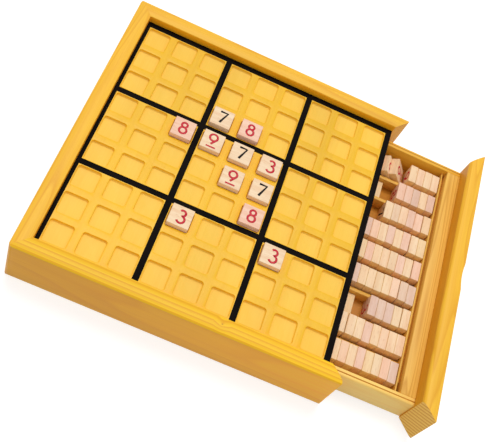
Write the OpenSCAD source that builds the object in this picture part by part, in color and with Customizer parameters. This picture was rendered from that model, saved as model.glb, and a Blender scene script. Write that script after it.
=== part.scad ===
// Sudoku board: a square wooden case with a recessed play panel and a drawer for the number tiles.
// Sizes in millimetres. X runs to the drawer's side, Y to the back, Z up.
// The origin is the middle of the case's underside.

/* [Number tiles] */
// Width of a square number tile
tile_w = 15.4; // [13:0.1:17]
// Thickness of a number tile
tile_t = 6; // [5:0.1:7]
// Chamfer on the edges of a number tile
tile_edge = 0.4; // [0.2:0.1:0.8]
// Space between neighbouring tiles in the drawer
tile_gap = 0.1; // [0.1:0.05:0.3]
// Sideways scatter of the tiles in the drawer
tile_jog = 0.7; // [0:0.1:0.8]
// Angle of the tiles that lean in the last row
lean_a = 35; // [25:1:40]

/* [Play panel] */
// Room that a tile has in its square recess
recess_play = 1; // [0.6:0.1:2]
// Wood between two recesses
cell_rib = 5.6; // [5:0.1:8]
// Wood between a recess and the black line beside it
block_lip = 0.575; // [0.4:0.025:1.2]
// Panel beyond the outer cells, up to the rails
cells_margin = 1.7; // [1.5:0.1:6]
// Thickness of the play panel over its blocks
panel_t = 6.2; // [5:0.1:7.5]
// Corner radius of a recess
recess_r = 2; // [1:0.1:3]
// Depth of a recess below the blocks' top
recess_d = 2.2; // [1.5:0.1:3.5]
// Depth of the sunk black lines round the blocks
line_d = 0.5; // [0.2:0.1:1]
// Shift of the cells from the case's middle, to the right
cells_dx = -1.1; // [-2:0.1:0]
// Shift of the cells from the case's middle, to the back
cells_dy = -1; // [-2:0.1:2]

/* [Case] */
// Height of the play panel's top face above the table
panel_z = 37; // [35:0.5:46]
// Thickness of a rail
rail_t = 11.3; // [9:0.1:15]
// Radius of the case's upright corners
corner_r = 3; // [1:0.5:5]
// Radius along the outer edge of a rail's foot
foot_r = 2.5; // [0.5:0.1:4]
// Depth of the groove that holds the play panel
groove_d = 3; // [2:0.1:4]
// Height of the rim's inner edge above the play panel
rim_in_h = 5.6; // [4:0.1:6]
// Height of the rim's outer edge above the play panel
rim_out_h = 5.6; // [4:0.1:6]
// Height of the crown's apex above the play panel, before rounding
crown_h = 6.8; // [6.2:0.1:9]
// Distance of the crown's apex from the foot's outer edge
crown_at = 5.6; // [4.5:0.1:7]
// Radius that rounds the crown's apex, as far as its slopes allow
crown_r = 15; // [3:0.5:20]
// Radius of the rim's inner and outer edges
rim_r = 1.2; // [0.4:0.1:1.6]
// Thickness of the base board
base_t = 4; // [3:0.5:7]
// Distance that the base board stays behind the closed drawer front's face
base_back = 2; // [1:0.5:6]
// Clearance round the play panel in its groove and the base board between the rails
board_gap = 0.2; // [0:0.05:0.4]

/* [Drawer] */
// Distance that the drawer stands open
open_x = 64.2; // [0:0.2:84]
// Clearance between a drawer side and its rail
drawer_side_gap = 1.5; // [0.4:0.1:2]
// Clearance between the drawer floor and the base board
drawer_foot_gap = 0.3; // [0.3:0.1:0.6]
// Clearance between the drawer's top and the play panel
drawer_head_gap = 3.3; // [1:0.1:4.5]
// Length of the drawer box behind the moulding
drawer_l = 100; // [95:1:120]
// Thickness of a drawer side
drawer_side_t = 5; // [4:0.1:7]
// Radius of a drawer side's outer top edge
drawer_side_r = 1.5; // [0.5:0.1:2.5]
// Thickness of the drawer floor
drawer_floor_t = 4; // [2:0.1:5]
// Thickness of the drawer's back
drawer_back_t = 5; // [4:0.5:8]
// Thickness of the flat strip behind the moulding
inner_front_t = 10.8; // [7:0.1:13]
// Thickness of the two cross strips at the ends of the rows
strip_t = 3; // [2.4:0.1:4]
// Drop of the two cross strips' top below the tops of the stored tiles
strip_drop = 0.2; // [0:0.1:4]
// Width of the trough along the right cross strip, beside the flat strip
trough_w = 2; // [0.5:0.1:2.2]
// Depth of that trough below the cross strip's top
trough_d = 4; // [1:0.1:8]
// Length of the slot at the trough's front end, which goes down to the drawer floor
slot_l = 10; // [4:1:40]
// Room that the first and the last row have more than the others
end_room = 3.165; // [0.5:0.005:4]
// Thickness of a divider
divider_t = 2.6; // [2:0.1:3.2]
// Height of a divider
divider_h = 9.6; // [6:0.1:13]
// Drop of the drawer front's rim below the rails' rim
front_drop = 0.2; // [0:0.1:1.5]
// Clearance at the drawer front's two mitres
mitre_gap = 0.3; // [0.3:0.05:0.6]
// Width of the finger dish in the drawer front
dish_w = 26; // [20:1:34]
// Depth of the finger dish
dish_d = 1.8; // [1:0.1:2.4]

/* [Hidden] */
// Board from the back row to the front row: a number is a tile, a dot an empty recess
board = [
  ".........",
  ".........",
  "...78....",
  "..8973...",
  "....97...",
  ".....8...",
  "...3..3..",
  ".........",
  "........."
];
// Stored tiles left of the packed ones, from right to left: | stands, / leans, _ lies. Numbers 1 to 9
apart = ["", "", "_", "", "", "", "", "_", "//|"];
// Gap between the packed tiles and those tiles, numbers 1 to 9
apart_gap = [0, 0, 8.4, 0, 0, 0, 0, 9.8, 1.8];
// Cells along one side of a block
block_cells = 3;
// Clearance between the tiles and the divider behind them, and the right cross strip
tile_back_gap = 0.3;
tile_end_gap = 0.8;
// Clearance between the play panel and the closed drawer front
panel_front_gap = 0.4;
// Angle step that scatters the tiles
jog_step = 137;
// Overlap of a cut beyond the face it opens
over = 1;
// Largest share of the crown's shorter slope that the crown's rounding takes
crown_share = 0.73;
// Straight pieces in a rounded corner of the moulding, and in its crown
edge_steps = 6;
crown_steps = 14;
// Roundness of the finger dish
$fn = 96;

side_cells = len(board);
recess_w = tile_w + recess_play;
cell = recess_w + cell_rib;
line_w = cell_rib - 2 * block_lip;
in_face = side_cells * cell / 2 + cells_margin;
half_w = in_face + rail_t;
case_w = 2 * half_w;
ledge_z = panel_z - panel_t;
drawer_z = base_t + drawer_foot_gap;
drawer_top = ledge_z - drawer_head_gap;
drawer_y = in_face - drawer_side_gap;
bay_y = drawer_y - drawer_side_t;
drawer_x = in_face - drawer_l;
floor_top = drawer_z + drawer_floor_t;
inner_front_x = in_face - inner_front_t;
strip_right_x = inner_front_x - strip_t;
strip_left_x = drawer_x + drawer_back_t;
row_x = strip_left_x + strip_t;
strip_h = tile_w - strip_drop;
row_end = strip_right_x - tile_end_gap;
row_pitch = 2 * (bay_y - end_room) / side_cells;
row_dy = (row_pitch - divider_t - tile_w) / 2 - tile_back_gap;
block_w = block_cells * cell;
blocks = side_cells / block_cells;
dividers = side_cells - 1;
dish_r = (dish_w * dish_w / 4 + dish_d * dish_d) / (2 * dish_d);

pine = [0.93, 0.75, 0.40];
pale_pine = [0.95, 0.80, 0.50];
golden = [0.96, 0.76, 0.30];
beech = [0.94, 0.82, 0.70];

function unit(v) = v / norm(v);

// Arc that rounds the corner v between the points p and q, in n straight pieces
function rounded(p, v, q, r, n) =
  let (a = unit(p - v))
  let (b = unit(q - v))
  let (half = acos(a * b) / 2)
  let (c = v + unit(a + b) * r / sin(half))
  let (s = v + a * r / tan(half) - c)
  let (e = v + b * r / tan(half) - c)
  let (start = atan2(s[1], s[0]))
  let (sweep = atan2(cross(s, e), s * e))
  [for (i = [0 : n]) c + r * [cos(start + sweep * i / n), sin(start + sweep * i / n)]];

// Radius r, or less where its arc at the corner v would take more than room of the sides to p and q
function fitted(p, v, q, r, room) = min(r, room * tan(acos(unit(p - v) * unit(q - v)) / 2));

// Section of the moulding: first coordinate inward from its outer face, second upward
function moulding(foot_z, rim_z) =
  let (foot_out = [0, foot_z])
  let (foot_in = [rail_t, foot_z])
  let (rim_in = [rail_t, rim_z + rim_in_h])
  let (apex = [crown_at, rim_z + crown_h])
  let (rim_out = [0, rim_z + rim_out_h])
  let (slope = min(norm(rim_in - apex), norm(rim_out - apex)))
  let (crown_fit = fitted(rim_in, apex, rim_out, crown_r, crown_share * slope))
  let (rim_fit = fitted(apex, rim_out, foot_out, rim_r, (1 - crown_share) * slope))
  concat(
    rounded(rim_out, foot_out, foot_in, foot_r, edge_steps),
    [foot_in],
    rounded(foot_in, rim_in, apex, rim_fit, edge_steps),
    rounded(rim_in, apex, rim_out, crown_fit, crown_steps),
    rounded(apex, rim_out, foot_out, rim_fit, edge_steps)
  );

module rounded_square(w, r) {
  inner = w - 2 * r;
  square([w, inner], center = true);
  square([inner, w], center = true);
  for (i = [-1, 1])
    for (j = [-1, 1])
      translate([i * inner / 2, j * inner / 2])
        circle(r);
}

// A length of moulding along the front side, mitred at both ends
module rail(foot_z, rim_z, gap) {
  apex_y = -gap * sqrt(2);
  intersection() {
    translate([-half_w, -half_w, 0])
      rotate([90, 0, 90])
        linear_extrude(case_w)
          polygon(moulding(foot_z, rim_z));
    linear_extrude(panel_z + crown_h)
      polygon([[0, apex_y], [-case_w, apex_y - case_w], [case_w, apex_y - case_w]]);
    linear_extrude(panel_z + crown_h)
      rounded_square(case_w, corner_r);
  }
}

// A rail of the case, turned to its side, with the groove that ends short of the drawer's mitre
module case_rail(turn) {
  reach = in_face + groove_d;
  color(pine)
    difference() {
      rotate(turn)
        rail(0, panel_z, 0);
      translate([-reach, -reach, ledge_z])
        cube([reach + in_face, 2 * reach, panel_t - line_d + board_gap]);
    }
}

module left_rail() {
  case_rail(-90);
}

module back_rail() {
  case_rail(180);
}

module front_rail() {
  case_rail(0);
}

// Middles of a square array of n by n places
module array(n, step) {
  for (i = [0 : n - 1])
    for (j = [0 : n - 1])
      translate([cells_dx + (i - (n - 1) / 2) * step, cells_dy + (j - (n - 1) / 2) * step])
        children();
}

// The panel's edges lie in the rails' groove; its nine blocks stand up between the sunk lines
module play_panel() {
  edge = in_face + groove_d - board_gap;
  front_x = in_face - panel_front_gap;
  color(golden)
    difference() {
      union() {
        translate([-edge, -edge, ledge_z])
          cube([edge + front_x, 2 * edge, panel_t - line_d]);
        translate([0, 0, panel_z - line_d])
          linear_extrude(line_d)
            array(blocks, block_w)
              square(block_w - line_w, center = true);
      }
      translate([0, 0, panel_z - recess_d])
        linear_extrude(recess_d + over)
          array(side_cells, cell)
            rounded_square(recess_w, recess_r);
    }
}

// The base board reaches under the drawer front, short of its face
module base_board() {
  edge = in_face - board_gap;
  color(pale_pine)
    translate([-edge, -edge, 0])
      cube([edge + half_w - base_back, 2 * edge, base_t]);
}

module drawer_front() {
  color(pine)
    translate([open_x, 0, 0])
      difference() {
        rotate(90)
          rail(drawer_z, panel_z - front_drop, mitre_gap);
        translate([half_w + dish_r - dish_d, 0, panel_z])
          sphere(dish_r);
      }
}

// A block of the drawer: left end, right end and height in the closed drawer, between its two sides
module cross_piece(x0, x1, z0, height) {
  translate([open_x + x0, -bay_y, z0])
    cube([x1 - x0, 2 * bay_y, height]);
}

module drawer_inner_front() {
  color(pale_pine)
    cross_piece(inner_front_x, in_face, floor_top, drawer_top - floor_top);
}

// One drawer side along the back, with a rounded outer top edge
module drawer_side() {
  r = drawer_side_r;
  top_in = [bay_y, drawer_top];
  top_out = [drawer_y, drawer_top];
  foot_out = [drawer_y, drawer_z];
  translate([open_x + drawer_x, 0, 0])
    rotate([90, 0, 90])
      linear_extrude(drawer_l)
        polygon(concat([[bay_y, drawer_z], foot_out], rounded(foot_out, top_out, top_in, r, edge_steps), [top_in]));
}

module drawer_side_front() {
  color(pale_pine)
    mirror([0, 1, 0])
      drawer_side();
}

module drawer_side_back() {
  color(pale_pine)
    drawer_side();
}

module drawer_back() {
  color(pale_pine)
    cross_piece(drawer_x, strip_left_x, floor_top, drawer_top - floor_top);
}

module drawer_floor() {
  color(pale_pine)
    cross_piece(drawer_x, in_face, drawer_z, drawer_floor_t);
}

module tray_strip_left() {
  color(pine)
    cross_piece(strip_left_x, row_x, floor_top, strip_h);
}

// The right strip is a thin wall on a foot that carries the trough's floor and stops at the slot
module tray_strip_right() {
  color(pine)
    translate([open_x + strip_right_x, -bay_y, floor_top]) {
      cube([strip_t - trough_w, 2 * bay_y, strip_h]);
      translate([0, slot_l, 0])
        cube([strip_t, 2 * bay_y - slot_l, strip_h - trough_d]);
    }
}

module divider(i) {
  color(pine)
    translate([open_x + row_x, (i - (dividers + 1) / 2) * row_pitch - divider_t / 2, floor_top])
      cube([strip_right_x - row_x, divider_t, divider_h]);
}

function chamfered(a, b, e) =
  let (x = a / 2)
  let (y = b / 2)
  [[x, y - e], [x - e, y], [e - x, y], [-x, y - e], [-x, e - y], [e - x, -y], [x - e, -y], [x, e - y]];

// A square tile lying flat with its middle at the origin
module tile() {
  intersection() {
    linear_extrude(tile_t, center = true)
      polygon(chamfered(tile_w, tile_w, tile_edge));
    rotate([90, 0, 0])
      linear_extrude(tile_w, center = true)
        polygon(chamfered(tile_w, tile_t, tile_edge));
    rotate([90, 0, 90])
      linear_extrude(tile_w, center = true)
        polygon(chamfered(tile_w, tile_t, tile_edge));
  }
}

module standing_tile(x, y) {
  translate([x, y, floor_top + tile_w / 2])
    rotate([0, 90, 0])
      tile();
}

// A tile tipped to the left, resting on its lower left edge at x
module leaning_tile(x, y) {
  translate([x, y, floor_top])
    rotate([0, -lean_a, 0])
      translate([tile_t / 2, 0, tile_w / 2])
        rotate([0, 90, 0])
          tile();
}

// A tile lying flat, its left side at x
module lying_tile(x, y) {
  translate([x + tile_w / 2, y, floor_top + tile_t / 2])
    tile();
}

function shown(n) = len([for (line = board) for (c = line) if (c == str(n)) c]);

function jog(n, i) = tile_jog * (sin(jog_step * (n + i * i)) - 1) / 2;

// Tiles that stand, lean or lie apart in a row, from right to left, from the i-th on, beginning at x
module apart_tiles(n, i, x, y) {
  tiles = apart[n - 1];
  if (i < len(tiles)) {
    leans = tiles[i] == "/";
    lies = tiles[i] == "_";
    next_stands = i + 1 < len(tiles) && tiles[i + 1] == "|";
    foot_x = x - (leans ? tile_t * cos(lean_a) : lies ? tile_w : tile_t);
    step = tile_gap / cos(lean_a) + tile_t * (1 / cos(lean_a) - cos(lean_a));
    next_x = next_stands ? foot_x - tile_w * sin(lean_a) - tile_gap : foot_x - step;
    if (leans) leaning_tile(foot_x, y + jog(n, i));
    else if (lies) lying_tile(foot_x, y + jog(n, i));
    else standing_tile(foot_x + tile_t / 2, y + jog(n, i));
    apart_tiles(n, i + 1, next_x, y);
  }
}

// All tiles of one number that are left in the drawer
module tile_row(n) {
  packed = side_cells - shown(n) - len(apart[n - 1]);
  y = (n - (side_cells + 1) / 2) * row_pitch + row_dy;
  pitch = tile_t + tile_gap;
  packed_x = row_end + tile_gap - packed * pitch;
  color(beech)
    translate([open_x, 0, 0]) {
      for (i = [0 : packed - 1])
        standing_tile(packed_x + tile_t / 2 + i * pitch, y + jog(n, i));
      apart_tiles(n, 0, packed_x - apart_gap[n - 1], y);
    }
}

// A tile lying in the recess of its cell
module board_tile(row, column) {
  middle = (side_cells + 1) / 2;
  x = cells_dx + (column - middle) * cell;
  y = cells_dy + (middle - row) * cell;
  color(beech)
    translate([x, y, panel_z - recess_d + tile_t / 2])
      tile();
}

function place(row, column) = str("tile_r", row, "c", column);

function is_tile(row, column) = board[row - 1][column - 1] != ".";

places = [for (row = [1 : side_cells]) for (column = [1 : side_cells]) if (is_tile(row, column)) [row, column]];

left_rail();
back_rail();
front_rail();
play_panel();
base_board();
drawer_front();
drawer_inner_front();
drawer_side_front();
drawer_side_back();
drawer_back();
drawer_floor();
tray_strip_left();
tray_strip_right();
for (i = [1 : dividers])
  divider(i);
for (n = [1 : side_cells])
  tile_row(n);
for (p = places)
  board_tile(p[0], p[1]);
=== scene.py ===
from math import cos, radians, sin, sqrt

import bmesh
import bpy
from mathutils import Matrix, Quaternion, Vector


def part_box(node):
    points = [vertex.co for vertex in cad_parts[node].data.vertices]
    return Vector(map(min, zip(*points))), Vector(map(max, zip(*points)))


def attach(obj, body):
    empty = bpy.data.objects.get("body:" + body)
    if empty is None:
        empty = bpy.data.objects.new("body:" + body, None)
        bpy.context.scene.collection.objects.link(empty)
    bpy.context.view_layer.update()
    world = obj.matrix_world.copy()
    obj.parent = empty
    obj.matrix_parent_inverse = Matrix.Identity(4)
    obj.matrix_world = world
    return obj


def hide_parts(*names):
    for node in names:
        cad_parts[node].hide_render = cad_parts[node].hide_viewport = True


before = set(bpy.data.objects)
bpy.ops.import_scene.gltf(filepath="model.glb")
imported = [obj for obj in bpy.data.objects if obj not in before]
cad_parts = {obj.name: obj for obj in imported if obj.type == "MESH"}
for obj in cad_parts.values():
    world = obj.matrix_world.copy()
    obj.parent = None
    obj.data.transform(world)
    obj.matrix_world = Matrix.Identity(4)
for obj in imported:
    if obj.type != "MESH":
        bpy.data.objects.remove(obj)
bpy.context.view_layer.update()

# Front, left and back rails of the case.
# Lacquered pine moulding with a slightly crowned rim, run in one profile, grooved inside for the
# play panel, mitred and glued at the corners, and rounded there after gluing.
MM = 0.001
HALF_W, IN_FACE = 112.0, 100.7
CROWN_AT = 5.6
RIM_H, CROWN_H = 5.6, 6.8
CROWN_BEVEL, RIM_IN_BEVEL, RIM_OUT_BEVEL, FOOT_BEVEL = 3.2, 0.5, 0.97, 2.5
CROWN_STEPS, EDGE_STEPS = 14, 6
MITRE_ANGLE, CORNER_R, CORNER_CUTS = 45, 3.0, 5
TIP_R, TIP_TURNS = 3.0, (57, 69, 81, 93, 105, 117)
PANEL_Z, PANEL_T = 37.0, 6.2
GROOVE_D, GROOVE_H = 3.0, 5.9
LEDGE_Z = PANEL_Z - PANEL_T
NEAR = 0.05
UPRIGHT, MITRE_NEAR, SQUARE_ON = 0.05, 0.02, 0.9
FLAT_ANGLE, SMOOTH_ANGLE = 0.5, 32
COAT_ROUGHNESS = 0.35


def start_block(name, low, high):
    """Adds a block between two corners in millimetres and leaves it in edit mode."""
    low, high = Vector(low), Vector(high)
    bpy.ops.object.select_all(action="DESELECT")
    bpy.ops.mesh.primitive_cube_add(size=1, location=(low + high) / 2 * MM, scale=(high - low) * MM)
    block = bpy.context.object
    block.name = block.data.name = name
    bpy.ops.object.transform_apply(location=True, rotation=False, scale=True)
    bpy.ops.object.mode_set(mode="EDIT")
    return block


def middle(item):
    """Middle of a vertex, edge or face, in millimetres."""
    points = [item] if isinstance(item, bmesh.types.BMVert) else item.verts
    return sum((p.co for p in points), Vector()) / len(points) / MM


def pick(piece, kind, wanted):
    """Selects the vertices, edges or faces that pass a test, and nothing else."""
    bpy.ops.mesh.select_mode(type=kind)
    bpy.ops.mesh.select_all(action="DESELECT")
    shape = bmesh.from_edit_mesh(piece.data)
    for item in {"VERT": shape.verts, "EDGE": shape.edges, "FACE": shape.faces}[kind]:
        if wanted(item):
            item.select_set(True)
    shape.select_flush_mode()
    bmesh.update_edit_mesh(piece.data)


def at(y, z):
    """Test for an item whose middle lies at the given depth and height."""
    def test(item):
        m = middle(item)
        return abs(m.y - y) < NEAR and abs(m.z - z) < NEAR
    return test


def move(*offset):
    """Moves what is selected, in millimetres."""
    bpy.ops.transform.translate(value=Vector(offset) * MM)


def cut(point, normal, **how):
    """Cuts the whole piece along a plane."""
    bpy.ops.mesh.select_all(action="SELECT")
    bpy.ops.mesh.bisect(plane_co=Vector(point) * MM, plane_no=normal, **how)


def round_edges(piece, wanted, size, segments):
    """Rounds the edges that pass a test."""
    pick(piece, "EDGE", wanted)
    bpy.ops.mesh.bevel(offset=size * MM, segments=segments, affect="EDGES")


def finish_mesh(piece, *finishes):
    """Leaves edit mode, smooths the rounded edges and gives the piece its finishes."""
    bpy.ops.object.mode_set(mode="OBJECT")
    bpy.ops.object.shade_smooth_by_angle(angle=radians(SMOOTH_ANGLE))
    for finish in finishes:
        piece.data.materials.append(finish)


def is_mitre(face):
    """True on the sawn face of a mitre."""
    return abs(face.normal.z) < UPRIGHT and abs(abs(face.normal.x) - sqrt(0.5)) < MITRE_NEAR


def facing(side, turn):
    """Direction that turns from the front toward one end, by an angle in degrees."""
    return Vector((side * sin(radians(turn)), -cos(radians(turn)), 0))


def moulding(name, foot_z, panel_z, gap, free_ends, in_bevel, groove=None):
    """A length of the moulding along the front side, mitred at both ends and rounded at the free
    ones, with a groove between two places along it."""
    rim, crown = panel_z + RIM_H, panel_z + CROWN_H
    crown_y = -HALF_W + CROWN_AT
    rail = start_block(name, (-HALF_W, -HALF_W, foot_z), (HALF_W, -IN_FACE, rim))
    cut((0, crown_y, 0), (0, 1, 0))
    pick(rail, "VERT", at(y=crown_y, z=rim))
    move(0, 0, crown - rim)
    bpy.ops.mesh.select_all(action="SELECT")
    bpy.ops.mesh.dissolve_limited(angle_limit=radians(FLAT_ANGLE))
    round_edges(rail, at(y=crown_y, z=crown), CROWN_BEVEL, CROWN_STEPS)
    round_edges(rail, at(y=-IN_FACE, z=rim), in_bevel, EDGE_STEPS)
    round_edges(rail, at(y=-HALF_W, z=rim), RIM_OUT_BEVEL, EDGE_STEPS)
    round_edges(rail, at(y=-HALF_W, z=foot_z), FOOT_BEVEL, EDGE_STEPS)
    if groove:
        for level in (LEDGE_Z, LEDGE_Z + GROOVE_H):
            cut((0, 0, level), (0, 0, 1))
        for end in groove:
            cut((end, 0, 0), (1, 0, 0))
        pick(rail, "FACE", lambda f: f.normal.y > SQUARE_ON
             and LEDGE_Z < middle(f).z < LEDGE_Z + GROOVE_H and groove[0] < middle(f).x < groove[1])
        bpy.ops.mesh.extrude_region_move(TRANSFORM_OT_translate={"value": (0, -GROOVE_D * MM, 0)})
    for side in (-1, 1):
        cut((0, -gap * sqrt(2), 0), (side, 1, 0), use_fill=True, clear_outer=True)
        for i in range(CORNER_CUTS):
            outward = facing(side, MITRE_ANGLE * (i + 1) / CORNER_CUTS)
            corner = Vector((side, -1, 0)) * (HALF_W - CORNER_R) + outward * CORNER_R
            cut(corner, outward, use_fill=True, clear_outer=True)
        if side in free_ends:
            reach = HALF_W - CORNER_R + CORNER_R * sqrt(0.5)
            tip = Vector((side * (reach - gap * sqrt(0.5)), -reach - gap * sqrt(0.5), 0))
            inward = Vector((-side * sqrt(2), 0, 0))
            for turn in TIP_TURNS:
                outward = facing(side, turn)
                cut(tip + (outward + inward) * TIP_R, outward, use_fill=True, clear_outer=True)
    return rail


def tone(red, green, blue):
    """A colour read off the wood, as Blender's linear values."""
    shares = (red / 255, green / 255, blue / 255)
    linear = [((v + 0.055) / 1.055) ** 2.4 if v > 0.04045 else v / 12.92 for v in shares]
    return (*linear, 1.0)


class Finish:
    """A material under work: adds nodes and joins them."""

    def __init__(self, name, roughness, gloss=0.3, coat=0.0):
        self.material = bpy.data.materials.new(name)
        self.material.use_nodes = True
        self.tree = self.material.node_tree
        self.shader = self.tree.nodes["Principled BSDF"]
        self.shader.inputs["Roughness"].default_value = roughness
        self.shader.inputs["Specular IOR Level"].default_value = gloss
        self.shader.inputs["Coat Weight"].default_value = coat
        self.shader.inputs["Coat Roughness"].default_value = COAT_ROUGHNESS
        self.place = self.add("ShaderNodeTexCoord").outputs["Object"]

    def add(self, kind, sockets=(), **settings):
        node = self.tree.nodes.new(kind)
        for key, value in settings.items():
            setattr(node, key, value)
        for key, value in dict(sockets).items():
            self.put(node.inputs[key], value)
        return node

    def put(self, socket, value):
        if isinstance(value, bpy.types.NodeSocket):
            self.tree.links.new(value, socket)
        else:
            socket.default_value = value

    def math(self, operation, a, b=0.0):
        return self.add("ShaderNodeMath", {0: a, 1: b}, operation=operation).outputs[0]

    def vector(self, operation, a, b):
        """Sum or product of two vectors, or the single value of a distance or dot product."""
        node = self.add("ShaderNodeVectorMath", {0: a, 1: b}, operation=operation)
        return node.outputs["Value" if operation in ("DISTANCE", "DOT_PRODUCT") else "Vector"]

    def noise(self, scale, detail=2.0, rough=0.5, place=None):
        """Noise whose three scales, per metre, follow the piece's own axes."""
        mapping = self.add("ShaderNodeMapping", {"Vector": place or self.place, "Scale": scale})
        settings = {"Vector": mapping.outputs[0], "Scale": 1.0, "Detail": detail,
                    "Roughness": rough}
        return self.add("ShaderNodeTexNoise", settings).outputs["Fac"]

    def ramp(self, value, stops):
        node = self.add("ShaderNodeValToRGB", {"Fac": value})
        points = node.color_ramp.elements
        while len(points) < len(stops):
            points.new(0.5)
        for point, (where, colour) in zip(points, stops):
            point.position = where
            point.color = colour if isinstance(colour, tuple) else (colour, colour, colour, 1)
        return node.outputs["Color"]

    def mix(self, how, factor, a, b):
        node = self.add("ShaderNodeMix", {0: factor, 6: a, 7: b}, data_type="RGBA", blend_type=how)
        return node.outputs[2]

    def bump(self, height, strength, depth_mm):
        settings = {"Height": height, "Strength": strength, "Distance": depth_mm * MM}
        self.put(self.shader.inputs["Normal"], self.add("ShaderNodeBump", settings).outputs[0])

    def colour(self, value):
        self.put(self.shader.inputs["Base Color"], value)


def along(axis, along_scale, across_scale):
    """Noise scales for wood whose grain runs along one axis."""
    return tuple(along_scale if a == axis else across_scale for a in "XYZ")


LACQUER = 0.06
RINGS_ALONG, FIBRE_SCALE, SLOW_SCALE = 4, (22, 1300), (5, 26)
RING_WANDER, STRAIGHT_WANDER = 9.0, 2.0
FIBRE_MARK, FIBRE_BUMP, FIBRE_DEPTH = 0.22, 0.12, 0.08
SLOW_TONES, DRIFT_TONES = (0.93, 1.05), (0.86, 1.06)
KNOT_R, KNOT_REACH, KNOT_PUSH = 0.8, 6.0, 3.2
KNOT_COLOUR = tone(168, 104, 30)


def pine(name, axis, pale, dark, rings=0.4, roughness=0.5, ring_scale=48, straight=0, knot=None,
         drift=None):
    """Lacquered pine: rings cut lengthwise, fine fibres and a slow change of tone.
    Straight rings are counted per metre, a knot bends them, and a drift shades the piece along
    a line."""
    wood = Finish(name, roughness, coat=LACQUER)
    place = wood.place
    if knot:
        far = wood.vector("DISTANCE", place, Vector(knot) * MM)
        swell = wood.ramp(wood.math("DIVIDE", far, KNOT_REACH * MM),
                          [(0.0, 1.0), (0.35, 0.45), (1.0, 0.0)])
        place = wood.vector("ADD", place, wood.vector("MULTIPLY", swell, (0, KNOT_PUSH * MM, 0)))
    cloud = wood.noise(along(axis, RINGS_ALONG, ring_scale), detail=1.0, rough=0.35, place=place)
    wander = wood.math("MULTIPLY", cloud, STRAIGHT_WANDER if straight else RING_WANDER)
    across = wood.vector("DOT_PRODUCT", place, along(axis, 0, straight))
    rings_at = wood.math("FRACT", wood.math("ADD", wander, across))
    ring = wood.ramp(rings_at, [(0.0, 0.0), (0.5, 0.25), (0.86, 1.0), (1.0, 0.0)])
    fibre = wood.noise(along(axis, *FIBRE_SCALE), rough=0.6)
    fibre_mark = wood.ramp(fibre, [(0.35, 1.0), (0.62, 0.0)])
    slow = wood.noise(along(axis, *SLOW_SCALE))
    colour = wood.mix("MIX", wood.math("MULTIPLY", ring, rings), pale, dark)
    colour = wood.mix("MIX", wood.math("MULTIPLY", fibre_mark, FIBRE_MARK), colour, dark)
    colour = wood.mix("MULTIPLY", 1.0, colour, wood.ramp(slow, list(zip((0.3, 0.7), SLOW_TONES))))
    if drift:
        gone = wood.math("ADD", wood.vector("DOT_PRODUCT", wood.place, drift), 0.5)
        shading = wood.ramp(gone, list(zip((0.0, 1.0), DRIFT_TONES)))
        colour = wood.mix("MULTIPLY", 1.0, colour, shading)
    if knot:
        eye = wood.ramp(wood.math("DIVIDE", far, KNOT_R * MM), [(0.4, 0.85), (1.0, 0.0)])
        colour = wood.mix("MIX", eye, colour, KNOT_COLOUR)
    wood.colour(colour)
    wood.bump(fibre, FIBRE_BUMP, FIBRE_DEPTH)
    return wood.material


END_RINGS, RING_TILT, RING_SWAY = 143.0, (0, 0.887, 0.1), 1.4
RING_MARK, PORE_MARK, PORE_SCALE = 0.9, 0.2, (900, 900, 900)


def end_grain(name, pale, dark):
    """Sawn end of pine: year rings round a far pith, with short pores."""
    wood = Finish(name, roughness=0.6)
    turned = wood.add("ShaderNodeMapping", {"Vector": wood.place, "Rotation": RING_TILT}).outputs[0]
    settings = {"Vector": turned, "Scale": END_RINGS, "Distortion": RING_SWAY, "Detail": 1.0,
                "Detail Scale": 0.6}
    wave = wood.add("ShaderNodeTexWave", settings, wave_profile="SAW", bands_direction="Z")
    ring = wood.ramp(wave.outputs["Fac"],
                     [(0.0, 0.0), (0.45, 0.1), (0.8, 1.0), (0.96, 0.9), (1.0, 0.0)])
    pores = wood.ramp(wood.noise(PORE_SCALE, rough=0.6), [(0.3, 1.0), (0.55, 0.0)])
    colour = wood.mix("MIX", wood.math("MULTIPLY", ring, RING_MARK), pale, dark)
    wood.colour(wood.mix("MIX", wood.math("MULTIPLY", pores, PORE_MARK), colour, dark))
    return wood.material


def fit(piece, body, slot, *nodes):
    """Puts a finished piece on its body, in place of its CAD nodes."""
    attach(piece, body)
    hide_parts(*nodes)


RAIL_PALE, RAIL_DARK = tone(252, 195, 52), tone(226, 150, 18)
FRONT_PALE, FRONT_DARK = tone(255, 204, 20), tone(232, 158, 8)
# Side and inner tones are painted shade and painted bounce light: the mouldings' upright faces take
# darker, more orange copies of the rail pine, and the left rail and the drawer front take darker
# ones still; the front rail's sides also lighten towards its right end.
SHADED_SIDE_PALE, SHADED_SIDE_DARK = tone(254, 183, 24), tone(232, 142, 8)
SHADED_INNER_PALE, SHADED_INNER_DARK = tone(228, 160, 26), tone(202, 126, 10)
END_PALE, END_DARK = tone(255, 210, 104), tone(222, 148, 44)
KNOT_AT = (26.2, -105.8, 43.0)
RAIL_RINGS, FRONT_RINGS = 80, 340
rail_pine = {axis: pine("rail_pine_along_" + axis, axis, RAIL_PALE, RAIL_DARK, rings=0.5,
                        ring_scale=RAIL_RINGS) for axis in "XY"}
front_pine = pine("front_rail_pine", "X", FRONT_PALE, FRONT_DARK, rings=0.85, ring_scale=20,
                  straight=FRONT_RINGS, knot=KNOT_AT)
back_shaded_side = pine("back_rail_shaded_side", "X", SHADED_SIDE_PALE, SHADED_SIDE_DARK, rings=0.2)
cross_shaded_side = pine("cross_rail_shaded_side", "Y", SHADED_INNER_PALE, SHADED_INNER_DARK, rings=0.2)
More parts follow.
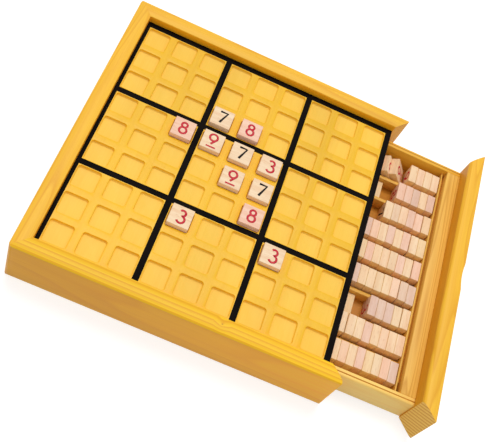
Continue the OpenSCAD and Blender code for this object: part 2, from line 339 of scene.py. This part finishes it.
front_shaded_side = pine("front_rail_shaded_side", "X", SHADED_SIDE_PALE, SHADED_SIDE_DARK, rings=0.35, ring_scale=22,
                  drift=(4, 0, 0))
rail_end = end_grain("rail_end_grain", END_PALE, END_DARK)


def mark_faces(piece):
    """Second finish on a moulding's mitres, third on its upright sides, which carries their painted
    shade.
    """
    for face in piece.data.polygons:
        face.material_index = 1 if is_mitre(face) else 2 if abs(face.normal.z) < UPRIGHT else 0


PAST_END = IN_FACE + 2 * GROOVE_D
for side, turn, free, groove, finishes in (
        ("front", 0, (1,), (-PAST_END, IN_FACE), (front_pine, rail_end, front_shaded_side)),
        ("left", -90, (), (-PAST_END, PAST_END), (rail_pine["Y"], rail_end, cross_shaded_side)),
        ("back", 180, (-1,), (-IN_FACE, PAST_END), (rail_pine["X"], rail_end, back_shaded_side))):
    rail = moulding(side + "_moulding", 0, PANEL_Z, 0, free, RIM_IN_BEVEL, groove)
    finish_mesh(rail, *finishes)
    mark_faces(rail)
    rail.rotation_euler.z = radians(turn)
    bpy.ops.object.transform_apply(location=False, rotation=True, scale=False)
    fit(rail, "case", "rail", side + "_rail")

# Play panel with 81 square recesses.
# Golden stained pine board; the recesses are routed with rounded corners, and the sunk lines
# round the nine blocks are painted black, except along the blocks' front edges under the rim.
# Its edges lie in the rails' groove.
CELL = 22.0
SIDE_CELLS, BLOCK_CELLS = 9, 3
BLOCK_W, MIDDLE_CELL = BLOCK_CELLS * CELL, (SIDE_CELLS + 1) / 2
RECESS_W, RECESS_R, RECESS_D = 16.4, 2.0, 2.2
LINE_W, LINE_D = 4.45, 0.5
UNDER_RIM = 0.5
LIP_R, LIP_STEPS = 0.3, 3
COVE_R, COVE_STEPS = 1.0, 4
MERGE = 0.01
STEEP, DEAD_SQUARE = 0.5, 0.999
CELLS_X, CELLS_Y = -1.1, -1.0
PANEL_LOW, PANEL_HIGH = (-103.5, -103.5), (100.3, 103.5)


def repeat(piece, count, step):
    """Copies a piece's mesh along X and Y in equal steps, with joined borders."""
    for axis in range(2):
        row = piece.modifiers.new("row", "ARRAY")
        row.count = count
        row.use_relative_offset = False
        row.use_constant_offset = True
        row.constant_offset_displace = [step * MM if a == axis else 0 for a in range(3)]
        row.use_merge_vertices = True
        row.merge_threshold = MERGE * MM
        bpy.ops.object.modifier_apply(modifier=row.name)


def is_border(edge):
    """True on the open edge of a sheet."""
    return len(edge.link_faces) == 1


first_x, first_y = CELLS_X - (MIDDLE_CELL - 1) * CELL, CELLS_Y - (MIDDLE_CELL - 1) * CELL
bpy.ops.object.select_all(action="DESELECT")
bpy.ops.mesh.primitive_plane_add(size=CELL * MM, location=Vector((first_x, first_y, PANEL_Z)) * MM)
panel = bpy.context.object
panel.name = panel.data.name = "panel_board"
bpy.ops.object.transform_apply(location=True, rotation=False, scale=False)
bpy.ops.object.mode_set(mode="EDIT")
bpy.ops.mesh.select_all(action="SELECT")
bpy.ops.mesh.inset(thickness=(CELL - RECESS_W) / 2 * MM)
bpy.ops.mesh.extrude_region_move(TRANSFORM_OT_translate={"value": (0, 0, -RECESS_D * MM)})
round_edges(panel, lambda e: abs(e.verts[0].co.z - e.verts[1].co.z) > MM, RECESS_R, EDGE_STEPS)


def at_wall(level):
    """Test for an edge at a level, between a recess's wall and a flat face."""
    def test(edge):
        steep = [abs(f.normal.z) < STEEP for f in edge.link_faces]
        return abs(middle(edge).z - level) < NEAR and any(steep) and not all(steep)
    return test


round_edges(panel, at_wall(PANEL_Z), LIP_R, LIP_STEPS)
round_edges(panel, at_wall(PANEL_Z - RECESS_D), COVE_R, COVE_STEPS)
bpy.ops.object.mode_set(mode="OBJECT")
repeat(panel, BLOCK_CELLS, CELL)

block_x, block_y, block_half = first_x + CELL, first_y + CELL, (BLOCK_W - LINE_W) / 2
bpy.ops.object.mode_set(mode="EDIT")
for nx, ny in ((1, 0), (-1, 0), (0, 1), (0, -1)):
    cut((block_x + nx * block_half, block_y + ny * block_half, 0), (nx, ny, 0), clear_outer=True)
pick(panel, "EDGE", is_border)
bpy.ops.mesh.extrude_edges_move(TRANSFORM_OT_translate={"value": (0, 0, -LINE_D * MM)})
line_scale = BLOCK_W / 2 / block_half
pick(panel, "EDGE", is_border)
bpy.ops.mesh.extrude_edges_move(TRANSFORM_OT_translate={"value": (0, 0, 0)})
bpy.ops.transform.resize(value=(line_scale, line_scale, 1),
                         center_override=(block_x * MM, block_y * MM, PANEL_Z * MM))
bpy.ops.object.mode_set(mode="OBJECT")
repeat(panel, SIDE_CELLS // BLOCK_CELLS, BLOCK_W)

bpy.ops.object.mode_set(mode="EDIT")
grid_half = SIDE_CELLS * CELL / 2
for axis, centre in enumerate((CELLS_X, CELLS_Y)):
    for border, goal in ((centre - grid_half, PANEL_LOW[axis]),
                         (centre + grid_half, PANEL_HIGH[axis])):
        pick(panel, "VERT", lambda v: abs(v.co[axis] / MM - border) < NEAR)
        move(*[goal - border if a == axis else 0 for a in range(3)])
front_edge = CELLS_Y - grid_half + LINE_W / 2
pick(panel, "VERT", lambda v: abs(v.co.y / MM - front_edge) < NEAR)
move(0, -UNDER_RIM, 0)
front_edge -= UNDER_RIM
for block in (-1, 0, 1):
    for end in (-block_half, block_half):
        pick(panel, "FACE", lambda f: middle(f).y < front_edge - NEAR)
        block_end = (CELLS_X + block * BLOCK_W + end) * MM
        bpy.ops.mesh.bisect(plane_co=(block_end, 0, 0), plane_no=(1, 0, 0))
pick(panel, "EDGE", is_border)
to_ledge = (LEDGE_Z - PANEL_Z + LINE_D) * MM
bpy.ops.mesh.extrude_edges_move(TRANSFORM_OT_translate={"value": (0, 0, to_ledge)})
pick(panel, "EDGE", is_border)
bpy.ops.mesh.edge_face_add()
bpy.ops.mesh.select_all(action="SELECT")
bpy.ops.mesh.normals_make_consistent(inside=False)

PANEL_PALE, PANEL_DARK = tone(252, 196, 27), tone(242, 178, 14)
RECESS_PALE, RECESS_DARK = tone(254, 206, 78), tone(246, 192, 56)
PAINT_DARK, PAINT_WORN, PAINT_SCALE = tone(12, 9, 8), tone(24, 18, 15), (60, 60, 60)
panel_stain = pine("panel_stain", "Y", PANEL_PALE, PANEL_DARK, rings=0.25, roughness=0.42,
                   drift=(-1, -1, 0))
recess_wood = pine("recess_wood", "Y", RECESS_PALE, RECESS_DARK, rings=0.2, roughness=0.55)


def line_paint():
    """Black paint, a little uneven, over the wood's fibres."""
    paint = Finish("line_paint", roughness=0.7, gloss=0.04)
    cloud = paint.noise(PAINT_SCALE, detail=3.0)
    paint.colour(paint.ramp(cloud, [(0.3, PAINT_DARK), (0.7, PAINT_WORN)]))
    paint.bump(paint.noise(along("Y", *FIBRE_SCALE)), strength=0.15, depth_mm=0.08)
    return paint.material


finish_mesh(panel, panel_stain, line_paint(), recess_wood)
for face in panel.data.polygons:
    level = face.center.z / MM
    if LEDGE_Z + NEAR < level < PANEL_Z - NEAR:
        in_recess = level < PANEL_Z - RECESS_D + COVE_R
        in_line = PANEL_Z - LINE_D - NEAR < level and max(abs(v) for v in face.normal) > DEAD_SQUARE
        off_block = min(abs(face.center.x / MM - CELLS_X - block * BLOCK_W) for block in (-1, 0, 1))
        in_line = in_line and (face.center.y / MM > front_edge + NEAR or off_block > block_half)
        edge_face = abs(level - (LEDGE_Z + PANEL_Z - LINE_D) / 2) < NEAR
        face.material_index = 1 if in_line and not edge_face else 2 if in_recess else 0
fit(panel, "case", "panel", "play_panel")

# Base board.
# Thin board of pale pine let in between the rails, with lightly eased edges; the drawer runs on it.
BOARD_PALE, BOARD_DARK = tone(250, 200, 98), tone(224, 162, 52)
BASE_EASE, EASE_STEPS = 0.4, 2
SHARP_ANGLE = 50


def is_sharp(edge):
    """True between two faces that meet at a marked angle."""
    return edge.calc_face_angle(0) > radians(SHARP_ANGLE)


def eased_board(name, node, ease):
    """A board in the place of a CAD node, with eased edges, left in edit mode."""
    low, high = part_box(node)
    board = start_block(name, Vector(low) / MM, Vector(high) / MM)
    round_edges(board, is_sharp, ease, EASE_STEPS)
    return board


board_pine = {axis: pine("board_pine_along_" + axis, axis, BOARD_PALE, BOARD_DARK, rings=0.3)
              for axis in "XY"}
base = eased_board("base_plate", "base_board", BASE_EASE)
finish_mesh(base, board_pine["X"])
fit(base, "case", "base", "base_board")

# Drawer front.
# The fourth side's moulding, its foot cut higher to clear the base, with open mitres that show
# end grain and a shallow dish sanded into its face for the fingers.
OPEN_X = 64.2
DRAWER_Z, DRAWER_TOP = 4.3, 27.5
FRONT_DROP, MITRE_GAP, FRONT_IN_BEVEL = 0.2, 0.3, 2.3
DISH_W, DISH_D = 26.0, 1.8
DISH_R = (DISH_W * DISH_W / 4 + DISH_D * DISH_D) / (2 * DISH_D)
DISH_STEPS = 128

front = moulding("drawer_front_moulding", DRAWER_Z, PANEL_Z - FRONT_DROP, MITRE_GAP, (),
                 FRONT_IN_BEVEL)
finish_mesh(front, rail_pine["Y"], rail_end, cross_shaded_side)
mark_faces(front)
front.rotation_euler.z = radians(90)
front.location.x = OPEN_X * MM
bpy.ops.object.transform_apply(location=True, rotation=True, scale=False)
dish_x = OPEN_X + HALF_W + DISH_R - DISH_D
dish_middle = Vector((dish_x, 0, PANEL_Z))
bpy.ops.mesh.primitive_uv_sphere_add(segments=DISH_STEPS, ring_count=DISH_STEPS // 2,
                                     radius=DISH_R * MM, location=dish_middle * MM)
dish = bpy.context.object
scoop = front.modifiers.new("scoop", "BOOLEAN")
scoop.object = dish
scoop.operation = "DIFFERENCE"
bpy.ops.object.select_all(action="DESELECT")
bpy.context.view_layer.objects.active = front
front.select_set(True)
bpy.ops.object.modifier_apply(modifier=scoop.name)
bpy.data.objects.remove(dish)
bpy.ops.object.shade_smooth_by_angle(angle=radians(SMOOTH_ANGLE))
# The dish takes the third finish too: the upright faces' painted shade.
for face in front.data.polygons:
    if abs((face.center / MM - dish_middle).length - DISH_R) < NEAR:
        face.material_index = 2
fit(front, "drawer", "front", "drawer_front")

# Drawer box.
# Planed pale pine: two sides with a rounded outer top edge, the flat strip behind the moulding,
# the back and a thin floor, glued together.
SIDE_R = 1.5
BOX_EASE = 0.35
SEAM_HALF, SEAM_D = 0.45, 0.35
SEAM_UP = 0.3
side_pine = pine("drawer_side_pine", "X", tone(255, 216, 120), tone(238, 182, 74), rings=0.25)
# The far side is coloured darker and more orange than the near one, as painted shade of the
# drawer's inside.
far_shaded_pine = pine("drawer_far_side_shaded_pine", "X", tone(249, 192, 62), tone(218, 150, 32), rings=0.3)
glue_line = pine("glue_line", "X", tone(206, 140, 40), tone(170, 104, 20))
for name, node, outer, wood in (("drawer_side_near", "drawer_side_front", min, side_pine),
                                ("drawer_side_far", "drawer_side_back", max, far_shaded_pine)):
    low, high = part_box(node)
    side = start_block(name, Vector(low) / MM, Vector(high) / MM)
    outer_y = outer(low[1], high[1]) / MM
    seam_y = (low[1] + high[1]) / 2 / MM
    for offset in (-SEAM_HALF, 0, SEAM_HALF):
        cut((0, seam_y + offset, 0), (0, 1, 0))
    pick(side, "VERT", at(y=seam_y, z=DRAWER_TOP))
    move(0, 0, -SEAM_D)
    round_edges(side, at(y=outer_y, z=DRAWER_TOP), SIDE_R, EDGE_STEPS)
    round_edges(side, is_sharp, BOX_EASE, EASE_STEPS)
    finish_mesh(side, wood, glue_line)
    for face in side.data.polygons:
        off_seam = abs(face.center.y / MM - seam_y)
        face.material_index = int(face.normal.z > SEAM_UP and off_seam < SEAM_HALF)
    fit(side, "drawer", "drawer_box", node)
# The floor is coloured dark orange as painted shade in the gaps between the tiles.
floor_shaded_pine = pine("drawer_floor_shaded_pine", "X", tone(206, 138, 36), tone(166, 98, 14), rings=0.4)
strip_pine = pine("flat_strip_pine", "Y", tone(252, 200, 92), tone(214, 148, 44), rings=0.7,
                  ring_scale=90)
for name, node, wood in (("drawer_flat_strip", "drawer_inner_front", strip_pine),
                         ("drawer_back_board", "drawer_back", board_pine["Y"]),
                         ("drawer_floor_board", "drawer_floor", floor_shaded_pine)):
    board = eased_board(name, node, BOX_EASE)
    finish_mesh(board, wood)
    fit(board, "drawer", "drawer_box", node)

# Dividers and cross strips of the tray.
# Thin pine slats glued to the floor: eight part the rows of tiles, and a strip closes them at each
# end. The right one has a trough beside the flat strip, open down to the floor at its near end.
TROUGH_W, TROUGH_D, SLOT_L = 2.0, 4.0, 10.0
SLAT_EASE, STRIP_EASE = 0.3, 0.2
SLAT_PALE, SLAT_DARK = tone(242, 190, 86), tone(208, 144, 42)
slat_pine = {axis: pine("slat_pine_along_" + axis, axis, SLAT_PALE, SLAT_DARK, rings=0.3)
             for axis in "XY"}
for i in range(1, SIDE_CELLS):
    slat = eased_board("divider_slat_%d" % i, "divider_%d" % i, SLAT_EASE)
    finish_mesh(slat, slat_pine["X"])
    fit(slat, "drawer", "divider", "divider_%d" % i)
left_strip = eased_board("cross_strip_left", "tray_strip_left", SLAT_EASE)
finish_mesh(left_strip, slat_pine["Y"])
fit(left_strip, "drawer", "divider", "tray_strip_left")
low, high = (Vector(corner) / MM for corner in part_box("tray_strip_right"))
right_strip = start_block("cross_strip_right", low, (high.x - TROUGH_W, high.y, high.z))
trough_z, slot_y = high.z - TROUGH_D, low.y + SLOT_L
cut((0, 0, trough_z), (0, 0, 1))
cut((0, slot_y, 0), (0, 1, 0))
pick(right_strip, "FACE", lambda f: f.normal.x > SQUARE_ON
     and middle(f).y > slot_y and middle(f).z < trough_z)
bpy.ops.mesh.extrude_region_move(TRANSFORM_OT_translate={"value": (TROUGH_W * MM, 0, 0)})
round_edges(right_strip, is_sharp, STRIP_EASE, EASE_STEPS)
finish_mesh(right_strip, slat_pine["Y"])
fit(right_strip, "drawer", "divider", "tray_strip_right")

# Number tiles, one shape for all.
# Square slips of pale beech with rubbed edges, from pinkish to cream, with a rounded figure
# printed in red or black; 6 and 9 are underlined.
TILE_W, TILE_T, TILE_EDGE, TILE_STEPS = 15.4, 6.0, 0.4, 3
BEVEL_SLOPE = 0.95
STROKE, BLACK_STROKE, ARC_STEPS = 1.6, 1.8, 18
PRINT_H, STROKE_LIFT = 0.02, 0.125


def arc(x, y, r, start, end):
    """Points along part of a circle, by its middle, radius and two angles in degrees."""
    turns = [radians(start + (end - start) * i / ARC_STEPS) for i in range(ARC_STEPS + 1)]
    return [(x + r * cos(a), y + r * sin(a)) for a in turns]


BLACK_NUMBERS = (1, 4, 7)
UNDERLINE, UNDERLINE_THIN = [(-3.5, -5.4), (3.5, -5.4)], 0.78
FIGURES = {
    1: [[(-1.5, 3.3), (0.5, 4.8), (0.5, -4.7)]],
    2: [arc(0, 2.2, 2.6, 170, -35) + [(-2.7, -4.7), (2.8, -4.7)]],
    3: [arc(0.5, 2.45, 2.15, 145, -90) + arc(0.5, -2.4, 2.7, 90, -155)],
    4: [[(1.2, -4.7), (1.2, 4.8), (-3.1, -1.9), (3.1, -1.9)]],
    5: [[(2.4, 4.7), (-1.7, 4.7), (-2.2, 0.6)] + arc(0.0, -1.7, 3.0, 125, -150)],
    6: [arc(0, -0.9, 2.85, 0, 360), [(-2.5, 0.4), (0.6, 5.0)], UNDERLINE],
    7: [[(-2.6, 4.8), (2.9, 4.8), (-0.9, -4.7)]],
    8: [arc(0, 2.6, 2.05, -90, 270), arc(0, -2.05, 2.65, 90, 450)],
    9: [arc(0, 2.8, 2.85, 0, 360), [(2.5, 1.5), (-0.7, -3.1)], UNDERLINE],
}


def figure(number):
    """Flat printed figure in the XY plane, its middle at the origin."""
    bpy.ops.object.select_all(action="DESELECT")
    bpy.ops.object.add(type="CURVE")
    ink = bpy.context.object
    ink.data.dimensions = "3D"
    width = BLACK_STROKE if number in BLACK_NUMBERS else STROKE
    ink.data.bevel_depth = width / 2 * MM
    ink.data.bevel_resolution = 1
    ink.data.use_fill_caps = True
    for layer, stroke in enumerate(FIGURES[number]):
        closed = (Vector(stroke[0]) - Vector(stroke[-1])).length < NEAR
        points = stroke[:-1] if closed else stroke
        line = ink.data.splines.new("POLY")
        line.points.add(len(points) - 1)
        for point, (x, y) in zip(line.points, points):
            point.co = (x * MM, y * MM, layer * width * STROKE_LIFT * MM, 1)
            point.radius = UNDERLINE_THIN if stroke is UNDERLINE else 1
        line.use_cyclic_u = closed
    bpy.ops.object.convert(target="MESH")
    ink.scale.z = PRINT_H / (width / 2)
    bpy.ops.object.transform_apply(location=False, rotation=False, scale=True)
    return ink


tile_corner = Vector((TILE_W, TILE_W, TILE_T)) / 2
blank = start_block("tile_blank", -tile_corner, tile_corner)
round_edges(blank, is_sharp, TILE_EDGE, TILE_STEPS)
finish_mesh(blank)
for face in blank.data.polygons:
    on_bevel = max(abs(v) for v in face.normal) < BEVEL_SLOPE
    face.material_index = int(on_bevel or abs(face.normal.x) > SQUARE_ON)
figures = {number: figure(number) for number in FIGURES}

WHITE = tone(255, 255, 255)
STORED_END, BOARD_END = tone(255, 250, 214), tone(244, 226, 208)
TILE_TONES = [(0.0, tone(255, 231, 196)), (0.3, tone(255, 227, 187)), (0.5, tone(255, 217, 192)),
              (0.75, tone(236, 208, 192)), (1.0, tone(255, 230, 182))]
STREAK_SCALE, FLECK_SCALE, HAIR_SCALE = (25, 320), (220, 2200), (60, 1500)
STREAK, FLECK = (0.35, tone(232, 196, 168)), (0.3, tone(206, 160, 130))
HAIR = (0.18, tone(220, 180, 150))


def beech(name, axis, stain=WHITE):
    """Pale beech: each tile its own tone, with streaks, flecks and fine hairs along the grain,
    under a stain."""
    wood = Finish(name, roughness=0.55)
    own_tone = wood.add("ShaderNodeAttribute", attribute_name="tone").outputs["Fac"]
    colour = wood.ramp(own_tone, TILE_TONES)
    streak = wood.ramp(wood.noise(along(axis, *STREAK_SCALE)), [(0.35, 1.0), (0.65, 0.0)])
    fleck = wood.ramp(wood.noise(along(axis, *FLECK_SCALE), detail=1.0), [(0.6, 0.0), (0.72, 1.0)])
    hair = wood.noise(along(axis, *HAIR_SCALE), rough=0.6)
    for mark, (share, mark_tone) in ((streak, STREAK), (fleck, FLECK), (hair, HAIR)):
        colour = wood.mix("MULTIPLY", wood.math("MULTIPLY", mark, share), colour, mark_tone)
    wood.colour(wood.mix("MULTIPLY", 1.0, colour, stain))
    wood.bump(hair, strength=0.12, depth_mm=0.06)
    return wood.material


def print_ink(name, thin, full):
    """Printing ink, thinner where the wood took less of it."""
    ink = Finish(name, roughness=0.6, gloss=0.12)
    ink.colour(ink.ramp(ink.noise(PORE_SCALE, detail=3.0), [(0.3, thin), (0.6, full)]))
    return ink.material


red_ink = print_ink("red_ink", tone(222, 84, 88), tone(200, 34, 54))
black_ink = print_ink("black_ink", tone(34, 28, 27), tone(18, 14, 14))
stored_beech = beech("stored_beech", "Y"), beech("stored_beech_end", "Y", STORED_END)
board_beech = beech("board_beech", "X"), beech("board_beech_end", "X", BOARD_END)


def copy_of(master, finishes, matrix, shade):
    """A copy of a finished shape with its own mesh, in its place."""
    copy = master.copy()
    copy.data = master.data.copy()
    bpy.context.collection.objects.link(copy)
    copy.data.transform(matrix)
    for finish in finishes:
        copy.data.materials.append(finish)
    tones = copy.data.attributes.new("tone", "FLOAT", "POINT")
    tones.data.foreach_set("value", [shade] * len(copy.data.vertices))
    return copy


def join_pieces(name, parts):
    """Joins parts into one piece."""
    bpy.ops.object.select_all(action="DESELECT")
    for part in parts:
        part.select_set(True)
    bpy.context.view_layer.objects.active = parts[0]
    bpy.ops.object.join()
    piece = bpy.context.object
    piece.name = piece.data.name = name
    return piece


def numbered_tile(number, matrix, wood, shade, faces):
    """Parts of one tile: the slip, and its figure on the top (1), the underside (-1), both or
    neither."""
    parts = [copy_of(blank, wood, matrix, shade)]
    ink = black_ink if number in BLACK_NUMBERS else red_ink
    for face in faces:
        lift = Matrix.Translation((0, 0, face * TILE_T / 2 * MM))
        flip = Matrix.Rotation(0 if face > 0 else radians(180), 4, "Y")
        parts.append(copy_of(figures[number], [ink], matrix @ lift @ flip, shade))
    return parts


SCATTER_STEP, SCATTER_SPREAD = 12.9898, 43758.5453


def scatter(seed):
    """A fixed value from 0 to 1 for each seed."""
    return (sin(seed * SCATTER_STEP) * SCATTER_SPREAD) % 1.0


# Tiles stored in the drawer, nine rows of one number each.
# They stand on edge between the dividers, pushed against the right strip; two of the nines
# have tipped to the left against a third, and a three and an eight lie face down.
FLOOR_TOP = 8.3
ROW_PITCH, ROW_DY = 20.23, 0.815
ROW_END = 86.1
TILE_GAP, TILE_JOG, JOG_STEP = 0.1, 0.7, 137
LEAN_A = 35
PACKED = {1: 9, 2: 9, 3: 5, 4: 9, 5: 9, 6: 9, 7: 6, 8: 5, 9: 4}
STANDING, LYING = {9: [35.7]}, {3: [39.6], 8: [38.2]}
LEANING = {9: [55.09, 47.64]}
SLID = 0.5
LAST_SLID = {2: 7, 3: 1, 4: 2, 5: 1, 6: 2, 7: 1}
# Lying tiles take the cream tone as painted bounce light, yellow from the drawer's wood.
BOUNCE_CREAM = 1.0
TURN_Z = Matrix.Rotation(radians(90), 4, "Z")
ON_EDGE = Matrix.Rotation(radians(90), 4, "Y") @ TURN_Z


def jog(number, i):
    """Small fixed shift of a stored tile across its row, in millimetres."""
    return TILE_JOG * (sin(radians(JOG_STEP * (number + i * i))) - 1) / 2


def in_drawer(x, y, height):
    """Shift to a place in the open drawer, a height above its floor."""
    return Matrix.Translation(Vector((OPEN_X + x, y, FLOOR_TOP + height)) * MM)


def upright(x, y):
    """Stands a tile on edge, its top face to the right."""
    return in_drawer(x, y, TILE_W / 2) @ ON_EDGE


def tipped(x, y):
    """Leans a tile to the left on its lower left edge."""
    lift = Matrix.Translation(Vector((TILE_T / 2, 0, TILE_W / 2)) * MM)
    return in_drawer(x, y, 0) @ Matrix.Rotation(radians(-LEAN_A), 4, "Y") @ lift @ ON_EDGE


def lying(x, y):
    """Lays a tile flat on the floor."""
    return in_drawer(x, y, TILE_T / 2) @ TURN_Z


for number in FIGURES:
    row_y = (number - MIDDLE_CELL) * ROW_PITCH + ROW_DY
    pitch = TILE_T + TILE_GAP
    first = ROW_END + TILE_GAP - PACKED[number] * pitch + TILE_T / 2
    parts = []
    for i in range(PACKED[number]):
        faces = (-1,) if i == 0 else (1,) if i == PACKED[number] - 1 else ()
        slid = SLID if i >= PACKED[number] - LAST_SLID.get(number, 0) else 0
        standing = upright(first + i * pitch + slid, row_y + jog(number, i))
        parts += numbered_tile(number, standing, stored_beech, scatter(number * 31 + i), faces)
    apart = [(x, way) for way, places in ((tipped, LEANING), (upright, STANDING), (lying, LYING))
             for x in places.get(number, [])]
    for i, (x, way) in enumerate(apart):
        # Lying tiles: figure down, and the cream tone as painted bounce light.
        shade, faces = (BOUNCE_CREAM, (-1,)) if way is lying else (scatter(number * 17 + i + 5), (1, -1))
        parts += numbered_tile(number, way(x, row_y + jog(number, i)), stored_beech, shade, faces)
    row = join_pieces("stored_row_%d" % number, parts)
    fit(row, "drawer", "stored_tile", "tile_row_%d" % number)

# Tiles in play.
# Eleven of the same beech tiles lie loose in recesses of the panel, with their figures up.
PINK, PINK_NUMBER, PALE = 0.5, 8, 0.2
IN_PLAY = {(3, 4): 7, (3, 5): 8, (4, 3): 8, (4, 4): 9, (4, 5): 7, (4, 6): 3, (5, 5): 9, (5, 6): 7,
           (6, 6): 8, (7, 4): 3, (7, 7): 3}
for (line, column), number in IN_PLAY.items():
    x, y = CELLS_X + (column - MIDDLE_CELL) * CELL, CELLS_Y + (MIDDLE_CELL - line) * CELL
    in_cell = Matrix.Translation(Vector((x, y, PANEL_Z - RECESS_D + TILE_T / 2)) * MM)
    shade = PINK if number == PINK_NUMBER else PALE * scatter(line * 13 + column)
    place = "tile_r%dc%d" % (line, column)
    tile = join_pieces("play_" + place, numbered_tile(number, in_cell, board_beech, shade, (1,)))
    fit(tile, "loose_" + place, "board_tile", place)

for master in [blank, *figures.values()]:
    bpy.data.objects.remove(master)

# Floor, light and camera.
# A plain white studio table, a wide soft lamp from behind on the left, and the photograph's view.
FLOOR_SIZE, FLOOR_GREY, FLOOR_ROUGHNESS = 6, 0.5, 0.9
FLOOR_GLOW, SKY_GLOW = (0.15, 0.7), (0.6, 1.0)
LAMP_FROM, LAMP_POWER, LAMP_SPREAD = Vector((-0.04, 0.35, 1.0)), 1.3, 25
CAMERA_AT = Vector((-0.037494, -0.347572, 0.550556))
AIM_AT = Vector((0.026246, 0.022367, 0.037))
CAMERA_ROLL = 31.731
SENSOR_W, FOCAL = 36, 66.440
PHOTO_W, SHIFT_X, SHIFT_Y = 488, -32.06, -50.5

scene = bpy.context.scene
scene.view_settings.view_transform = "Standard"


def glow_for_eye(tree, dim, bright):
    """Bright for camera, glossy and transmission rays, dim for the light that falls on other
    things."""
    path = tree.nodes.new("ShaderNodeLightPath")
    seen = path.outputs["Is Camera Ray"]
    for other in ("Is Glossy Ray", "Is Transmission Ray"):
        most = tree.nodes.new("ShaderNodeMath")
        most.operation = "MAXIMUM"
        tree.links.new(seen, most.inputs[0])
        tree.links.new(path.outputs[other], most.inputs[1])
        seen = most.outputs[0]
    level = tree.nodes.new("ShaderNodeMapRange")
    tree.links.new(seen, level.inputs["Value"])
    level.inputs["To Min"].default_value = dim
    level.inputs["To Max"].default_value = bright
    return level.outputs["Result"]


bpy.ops.object.select_all(action="DESELECT")
bpy.ops.mesh.primitive_plane_add(size=FLOOR_SIZE, location=(0, 0, 0))
floor = bpy.context.object
floor.name = "studio_floor"
paper = bpy.data.materials.new("studio_paper")
paper.use_nodes = True
matt = paper.node_tree.nodes["Principled BSDF"]
matt.inputs["Base Color"].default_value = (FLOOR_GREY, FLOOR_GREY, FLOOR_GREY, 1)
matt.inputs["Roughness"].default_value = FLOOR_ROUGHNESS
matt.inputs["Emission Color"].default_value = WHITE
paper_glow = glow_for_eye(paper.node_tree, *FLOOR_GLOW)
paper.node_tree.links.new(paper_glow, matt.inputs["Emission Strength"])
floor.data.materials.append(paper)

sky = bpy.data.worlds.new("studio_sky")
sky.use_nodes = True
scene.world = sky
back = sky.node_tree.nodes["Background"]
back.inputs["Color"].default_value = WHITE
sky.node_tree.links.new(glow_for_eye(sky.node_tree, *SKY_GLOW), back.inputs["Strength"])

lamp = bpy.data.lights.new("soft_lamp", "SUN")
lamp.energy = LAMP_POWER
lamp.angle = radians(LAMP_SPREAD)
lamp_stand = bpy.data.objects.new("soft_lamp", lamp)
lamp_stand.rotation_euler = (-LAMP_FROM).to_track_quat("-Z", "Y").to_euler()
scene.collection.objects.link(lamp_stand)

lens = bpy.data.cameras.new("photo_camera")
lens.sensor_width = SENSOR_W
lens.lens = FOCAL
lens.shift_x = SHIFT_X / PHOTO_W
lens.shift_y = SHIFT_Y / PHOTO_W
camera = bpy.data.objects.new("photo_camera", lens)
camera.location = CAMERA_AT
aim = (AIM_AT - CAMERA_AT).to_track_quat("-Z", "Y") @ Quaternion((0, 0, 1), radians(CAMERA_ROLL))
camera.rotation_euler = aim.to_euler()
scene.collection.objects.link(camera)
scene.camera = camera
